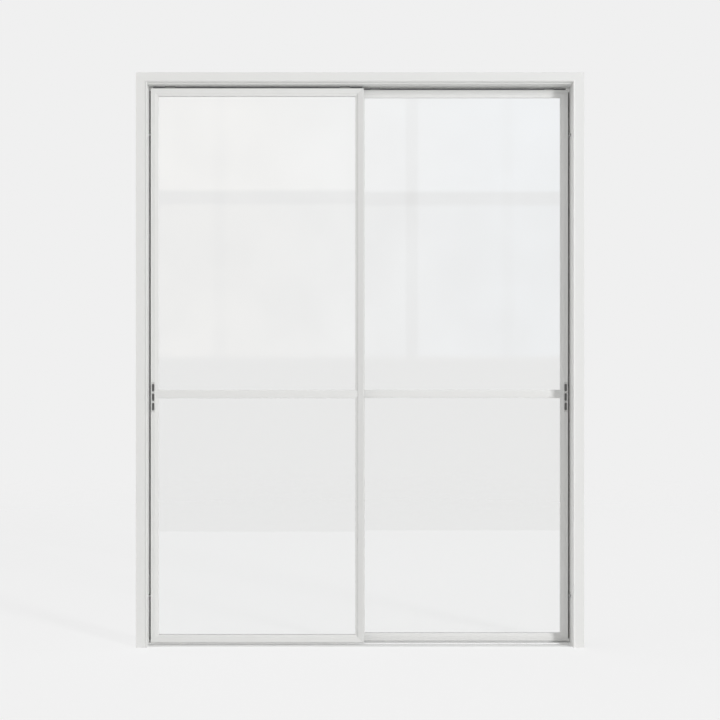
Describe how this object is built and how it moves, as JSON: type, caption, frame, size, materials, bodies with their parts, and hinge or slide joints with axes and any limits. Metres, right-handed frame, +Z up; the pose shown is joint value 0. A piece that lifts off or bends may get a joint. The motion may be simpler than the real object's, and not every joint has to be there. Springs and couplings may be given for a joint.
{
  "type": "pair of sliding glazed doors in a frame",
  "caption": "White frame with glazed leaves that slide past each other on bottom rollers, with mid rails and slotted flush pulls.",
  "frame": {"origin": "middle of the frame's footprint, on the floor", "axes": "+X along the doorway to the right, +Y from the viewer through the doorway, +Z up"},
  "size_m": [1.636, 0.116, 2.1],
  "materials": {
    "white_paint": "satin white powder coat",
    "bare_aluminium": "pale anodised",
    "clear_glass": "clear",
    "pale_rubber": "matte",
    "grey_rubber": "matte",
    "dark_pile": "brushed pile",
    "grey_plastic": "matte moulded",
    "grey_paint": "satin grey powder coat",
    "white_nylon": "moulded nylon",
    "steel": "zinc plated"
  },
  "bodies": {
    "frame": {"left_jamb": "white_paint", "right_jamb": "white_paint", "head_box": "white_paint", "left_casing": "white_paint", "right_casing": "white_paint", "head_casing": "white_paint", "sill_track": "bare_aluminium", "left_buffers": "grey_rubber", "right_buffers": "grey_rubber", "frame_screws": "steel"},
    "left_leaf": {"left_outer_stile": "white_paint", "left_meeting_stile": "white_paint", "left_top_rail": "white_paint", "left_bottom_rail": "white_paint", "left_mid_rail": "white_paint", "left_upper_pane": "clear_glass", "left_lower_pane": "clear_glass", "left_upper_gasket": "pale_rubber", "left_lower_gasket": "pale_rubber", "left_top_pile": "dark_pile", "left_edge_pile": "dark_pile", "left_meeting_pile": "dark_pile", "left_corner_keys": "bare_aluminium", "left_guide_shoes": "grey_plastic", "left_roller_housings": "steel", "left_roller_screws": "steel", "left_axles": "steel", "left_pull_core": "grey_plastic", "left_pull_front_plate": "grey_paint", "left_pull_back_plate": "grey_paint"},
    "left_outer_wheel": {"left_outer_wheel": "white_nylon"},
    "left_meeting_wheel": {"left_meeting_wheel": "white_nylon"},
    "right_leaf": {"right_outer_stile": "white_paint", "right_meeting_stile": "white_paint", "right_top_rail": "white_paint", "right_bottom_rail": "white_paint", "right_mid_rail": "white_paint", "right_upper_pane": "clear_glass", "right_lower_pane": "clear_glass", "right_upper_gasket": "pale_rubber", "right_lower_gasket": "pale_rubber", "right_top_pile": "dark_pile", "right_edge_pile": "dark_pile", "right_meeting_pile": "dark_pile", "right_corner_keys": "bare_aluminium", "right_guide_shoes": "grey_plastic", "right_roller_housings": "steel", "right_roller_screws": "steel", "right_axles": "steel", "right_pull_core": "grey_plastic", "right_pull_front_plate": "grey_paint", "right_pull_back_plate": "grey_paint"},
    "right_outer_wheel": {"right_outer_wheel": "white_nylon"},
    "right_meeting_wheel": {"right_meeting_wheel": "white_nylon"}
  },
  "joints": [
    {"name": "left_slide", "type": "slide", "parent": "frame", "child": "left_leaf", "axis": [1, 0, 0], "range_m": [0, 0.757]},
    {"name": "right_slide", "type": "slide", "parent": "frame", "child": "right_leaf", "axis": [-1, 0, 0], "range_m": [0, 0.757]},
    {"name": "left_outer_wheel_turn", "type": "hinge", "parent": "left_leaf", "child": "left_outer_wheel", "pos_m": [-0.661, -0.004, 0.0138], "axis": [0, 1, 0], "continuous": true},
    {"name": "left_meeting_wheel_turn", "type": "hinge", "parent": "left_leaf", "child": "left_meeting_wheel", "pos_m": [-0.096, -0.004, 0.0138], "axis": [0, 1, 0], "continuous": true},
    {"name": "right_outer_wheel_turn", "type": "hinge", "parent": "right_leaf", "child": "right_outer_wheel", "pos_m": [0.661, 0.024, 0.0138], "axis": [0, 1, 0], "continuous": true},
    {"name": "right_meeting_wheel_turn", "type": "hinge", "parent": "right_leaf", "child": "right_meeting_wheel", "pos_m": [0.096, 0.024, 0.0138], "axis": [0, 1, 0], "continuous": true}
  ],
  "couplings": [
    {"joint": "left_outer_wheel_turn", "follows": "left_slide", "rad_per_m": 153.85},
    {"joint": "left_meeting_wheel_turn", "follows": "left_slide", "rad_per_m": 153.85},
    {"joint": "right_outer_wheel_turn", "follows": "right_slide", "rad_per_m": -153.85},
    {"joint": "right_meeting_wheel_turn", "follows": "right_slide", "rad_per_m": -153.85}
  ]
}
